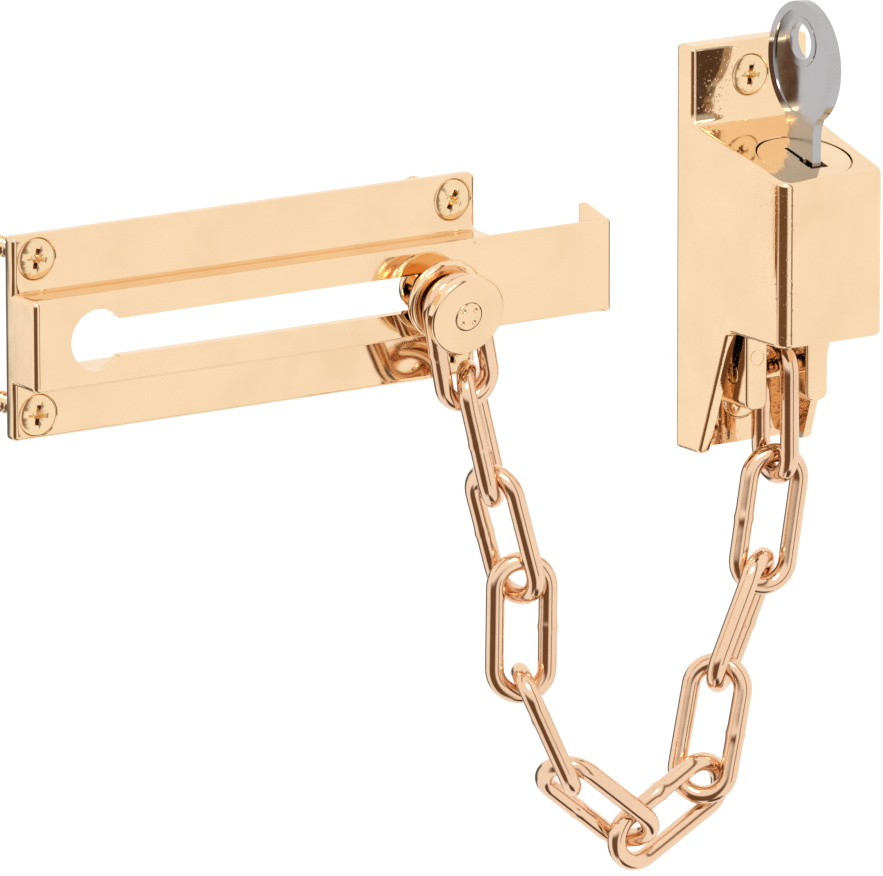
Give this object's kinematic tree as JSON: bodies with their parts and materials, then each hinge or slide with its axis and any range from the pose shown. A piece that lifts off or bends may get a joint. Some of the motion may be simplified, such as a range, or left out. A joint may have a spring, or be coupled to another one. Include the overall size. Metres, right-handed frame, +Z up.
{
  "type": "door chain guard",
  "caption": "Door chain guard: a slotted keyhole track bracket, a slider on a welded-link chain, and a keyed lock housing that holds the chain's other end in a release fork.",
  "frame": {"origin": "on the track bracket's flat back, halfway along its plate and in the middle of the strip below the channel", "axes": "+X along the track towards the lock, +Y into the door and its frame, +Z up"},
  "size_m": [0.1802, 0.0521, 0.1737],
  "materials": {
    "track_plate": "polished brass plate on a casting",
    "housing_plate": "polished brass plate on a casting, finely pitted on the cheeks",
    "fork_plate": "polished brass plate",
    "slider_plate": "polished brass plate",
    "screw_plate": "polished brass plate",
    "chain_plate": "bright rose-tinted brass plate on welded wire",
    "plug_brass": "polished brass",
    "wafer_brass": "plain brass",
    "cylinder_zinc": "plain zinc casting",
    "steel": "zinc-plated steel",
    "key_nickel": "polished nickel plate"
  },
  "bodies": {
    "base": {"track_bracket": "track_plate", "track_screw_1": "screw_plate", "track_screw_2": "screw_plate", "track_screw_3": "screw_plate", "track_screw_4": "screw_plate", "lock_housing": "housing_plate", "lock_screw_1": "screw_plate", "lock_screw_2": "screw_plate", "cylinder_body": "cylinder_zinc"},
    "slider": {"slider_stud": "slider_plate", "slider_front_disc": "slider_plate"},
    "shoe": {"slider_shoe": "slider_plate"},
    "sleeve": {"slider_sleeve": "slider_plate"},
    "link_01": {"link_01": "chain_plate"},
    "link_02": {"link_02": "chain_plate"},
    "link_03": {"link_03": "chain_plate"},
    "link_04": {"link_04": "chain_plate"},
    "link_05": {"link_05": "chain_plate"},
    "link_06": {"link_06": "chain_plate"},
    "link_07": {"link_07": "chain_plate"},
    "link_08": {"link_08": "chain_plate"},
    "link_09": {"link_09": "chain_plate"},
    "link_10": {"link_10": "chain_plate"},
    "link_11": {"link_11": "chain_plate"},
    "plug": {"cylinder_plug": "plug_brass", "retaining_clip": "steel", "cam": "steel", "cam_screw": "steel", "wafer_1": "wafer_brass", "wafer_2": "wafer_brass", "wafer_3": "wafer_brass", "wafer_4": "wafer_brass", "wafer_5": "wafer_brass"},
    "key": {"key": "key_nickel"},
    "fork": {"fork": "fork_plate", "fork_pin": "fork_plate"}
  },
  "joints": [
    {"name": "slider_slide", "type": "slide", "parent": "base", "child": "slider", "axis": [-1, 0, 0], "range_m": [0, 0.0759]},
    {"name": "link_01_pivot", "type": "hinge", "parent": "slider", "child": "link_01", "pos_m": [0.0379, -0.01813, 0.01268], "axis": [0, 1, 0], "range_deg": [-21.21, 0.2]},
    {"name": "link_02_pivot", "type": "hinge", "parent": "link_01", "child": "link_02", "pos_m": [0.04373, -0.0139, -0.00466], "axis": [0, 1, 0], "range_deg": [-4.6, 0.2]},
    {"name": "link_03_pivot", "type": "hinge", "parent": "link_02", "child": "link_03", "pos_m": [0.04909, -0.01394, -0.02516], "axis": [0, 1, 0], "range_deg": [-0.2, 4.61]},
    {"name": "link_04_pivot", "type": "hinge", "parent": "link_03", "child": "link_04", "pos_m": [0.05686, -0.01425, -0.04544], "axis": [0, 1, 0], "range_deg": [-15.12, 0.2]},
    {"name": "link_05_pivot", "type": "hinge", "parent": "link_04", "child": "link_05", "pos_m": [0.05568, -0.01492, -0.06541], "axis": [0, 1, 0], "range_deg": [-0.2, 22.54]},
    {"name": "link_06_pivot", "type": "hinge", "parent": "link_05", "child": "link_06", "pos_m": [0.06685, -0.01447, -0.08496], "axis": [0, 1, 0], "range_deg": [-0.2, 12.41]},
    {"name": "link_07_pivot", "type": "hinge", "parent": "link_06", "child": "link_07", "pos_m": [0.08395, -0.01347, -0.10035], "axis": [0, 1, 0], "range_deg": [-0.2, 23.18]},
    {"name": "link_08_pivot", "type": "hinge", "parent": "link_07", "child": "link_08", "pos_m": [0.09881, -0.01337, -0.09314], "axis": [0, 1, 0], "range_deg": [-0.2, 24.11]},
    {"name": "link_09_pivot", "type": "hinge", "parent": "link_08", "child": "link_09", "pos_m": [0.10348, -0.0137, -0.071], "axis": [0, 1, 0], "range_deg": [-23.71, 0.2]},
    {"name": "link_10_pivot", "type": "hinge", "parent": "link_09", "child": "link_10", "pos_m": [0.11018, -0.01407, -0.04964], "axis": [0, 1, 0], "range_deg": [-0.2, 14.05]},
    {"name": "link_11_pivot", "type": "hinge", "parent": "link_10", "child": "link_11", "pos_m": [0.11584, -0.01426, -0.03114], "axis": [0, 1, 0], "range_deg": [-29.17, 0.2]},
    {"name": "plug_turn", "type": "hinge", "parent": "base", "child": "plug", "pos_m": [0.11445, -0.0246, 0.03], "axis": [0, 0, 1], "range_deg": [0, 90]},
    {"name": "key_slide", "type": "slide", "parent": "plug", "child": "key", "axis": [0, 0, 1], "range_m": [0, 0.02]},
    {"name": "fork_slide", "type": "slide", "parent": "base", "child": "fork", "axis": [0, 0, -1], "range_m": [0, 0.008]},
    {"name": "shoe_turn", "type": "hinge", "parent": "slider", "child": "shoe", "pos_m": [0.0379, -0.0105, 0.0143], "axis": [0, -0.9781, -0.2079], "continuous": true},
    {"name": "sleeve_turn", "type": "hinge", "parent": "slider", "child": "sleeve", "pos_m": [0.0379, -0.0105, 0.0143], "axis": [0, -0.9781, -0.2079], "continuous": true}
  ],
  "couplings": [
    {"joint": "link_01_pivot", "follows": "slider_slide", "rad_per_m": -4.8311},
    {"joint": "link_02_pivot", "follows": "slider_slide", "rad_per_m": -1.0108},
    {"joint": "link_03_pivot", "follows": "slider_slide", "rad_per_m": 1.0144},
    {"joint": "link_04_pivot", "follows": "slider_slide", "rad_per_m": -3.4319},
    {"joint": "link_05_pivot", "follows": "slider_slide", "rad_per_m": 5.1376},
    {"joint": "link_06_pivot", "follows": "fork_slide", "rad_per_m": 26.633},
    {"joint": "link_07_pivot", "follows": "slider_slide", "rad_per_m": 5.2845},
    {"joint": "link_08_pivot", "follows": "slider_slide", "rad_per_m": 5.4972},
    {"joint": "link_09_pivot", "follows": "fork_slide", "rad_per_m": -51.294},
    {"joint": "link_10_pivot", "follows": "fork_slide", "rad_per_m": 30.222},
    {"joint": "link_11_pivot", "follows": "slider_slide", "rad_per_m": -6.6623}
  ]
}
